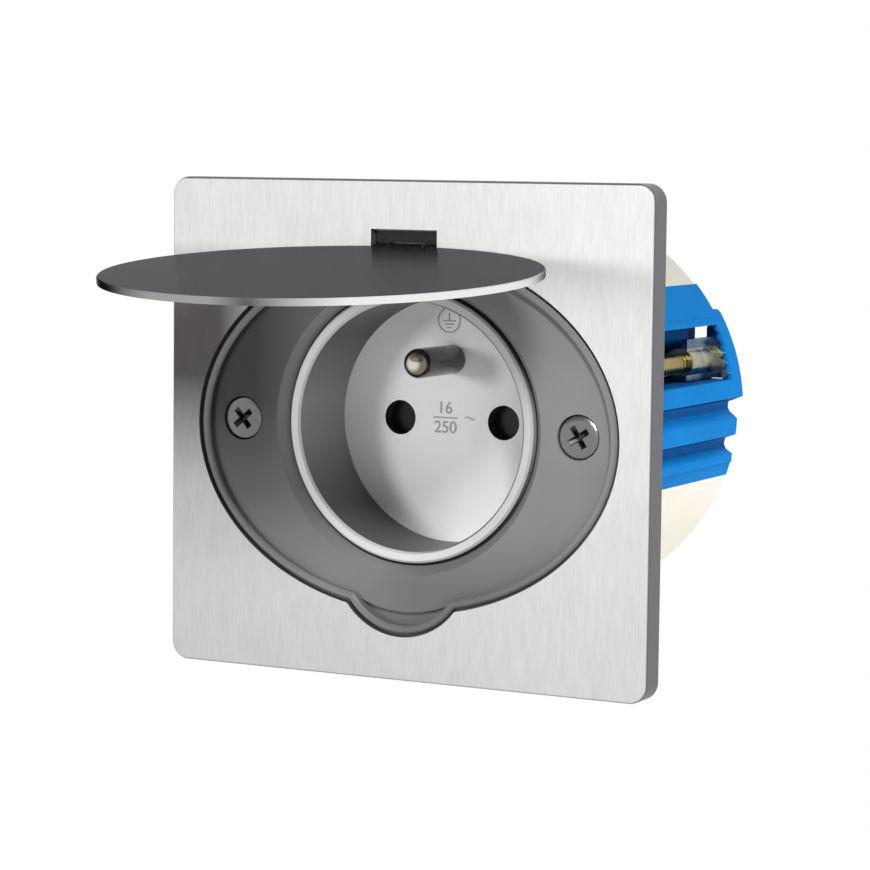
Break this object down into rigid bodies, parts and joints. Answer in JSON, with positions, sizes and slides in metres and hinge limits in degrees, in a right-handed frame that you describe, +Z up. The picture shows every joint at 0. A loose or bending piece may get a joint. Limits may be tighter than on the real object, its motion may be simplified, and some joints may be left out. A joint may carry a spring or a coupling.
{
  "type": "weatherproof outlet",
  "caption": "Flush weatherproof mains socket: brushed steel plate and hinged oval lid, grey tray, round well with earth pin, and a blue hollow-wall box with claws behind.",
  "frame": {"origin": "on the axis of the socket and of the round box, in the plane of the wall's surface, where the plate's rim and the box's flange rest", "axes": "+Y into the wall along the box's axis, so the front faces -Y; +Z up; +X to the right as seen from the front"},
  "size_m": [0.086, 0.1163, 0.0799],
  "materials": {
    "stainless_plate": "vertically brushed stainless steel",
    "stainless_lid": "brushed stainless steel",
    "grey_tray": "fine matt moulded grey plastic",
    "light_grey_insert": "smooth light grey thermoset plastic",
    "black_rubber": "soft black rubber",
    "black_plastic": "satin black plastic",
    "white_base": "matt off-white thermoset plastic",
    "nickel_pin": "nickel-plated brass",
    "contact_brass": "bare brass",
    "brass_screw": "machined brass thread",
    "zinc_screws": "zinc-plated steel",
    "spring_steel": "bare spring steel",
    "galvanised_frame": "galvanised sheet steel",
    "claw_steel": "zinc-plated pressed steel",
    "blue_plastic": "blue moulded plastic",
    "cream_soft": "soft cream elastomer"
  },
  "bodies": {
    "root": {"face_plate": "stainless_plate", "plate_gasket": "black_rubber", "inner_tray": "grey_tray", "socket_insert": "light_grey_insert", "insert_gasket": "black_rubber", "earth_pin": "nickel_pin", "earth_terminal": "contact_brass", "right_contact": "contact_brass", "left_contact": "contact_brass", "terminal_screws": "zinc_screws", "socket_base": "white_base", "base_screws": "zinc_screws", "shutter_spring": "spring_steel", "mounting_frame": "galvanised_frame", "fixing_screws": "zinc_screws", "hinge_bracket": "black_plastic", "hinge_pin": "spring_steel", "hinge_washers": "spring_steel", "flush_box": "blue_plastic", "upper_membrane": "cream_soft", "lower_membrane": "cream_soft", "rear_membrane": "cream_soft"},
    "lid": {"lid": "stainless_lid", "lid_seal": "black_rubber", "hinge_arm": "black_plastic"},
    "shutter": {"shutter": "black_plastic"},
    "right_claw": {"right_claw": "claw_steel"},
    "left_claw": {"left_claw": "claw_steel"},
    "right_claw_screw": {"right_claw_screw": "brass_screw"},
    "left_claw_screw": {"left_claw_screw": "brass_screw"}
  },
  "joints": [
    {"name": "lid_hinge", "type": "hinge", "parent": "root", "child": "lid", "pos_m": [0, -0.0034, 0.0279], "axis": [-1, 0, 0], "range_deg": [-83.5, 6.5]},
    {"name": "shutter_slide", "type": "slide", "parent": "root", "child": "shutter", "axis": [-1, 0, 0], "range_m": [0, 0.0062], "stiffness_N_per_m": 60, "springref_m": -0.004, "deforming": ["shutter_spring"]},
    {"name": "right_claw_slide", "type": "slide", "parent": "root", "child": "right_claw", "axis": [0, -1, 0], "range_m": [0, 0.026]},
    {"name": "right_claw_screw_turn", "type": "hinge", "parent": "root", "child": "right_claw_screw", "pos_m": [0.0282, 0.02, 0.0089], "axis": [0, 1, 0], "range_deg": [0, 7488]},
    {"name": "left_claw_slide", "type": "slide", "parent": "root", "child": "left_claw", "axis": [0, -1, 0], "range_m": [0, 0.026]},
    {"name": "left_claw_screw_turn", "type": "hinge", "parent": "root", "child": "left_claw_screw", "pos_m": [-0.0282, 0.02, -0.0089], "axis": [0, 1, 0], "range_deg": [0, 7488]}
  ],
  "couplings": [
    {"joint": "right_claw_screw_turn", "follows": "right_claw_slide", "rad_per_m": 5026.5},
    {"joint": "left_claw_screw_turn", "follows": "left_claw_slide", "rad_per_m": 5026.5}
  ]
}
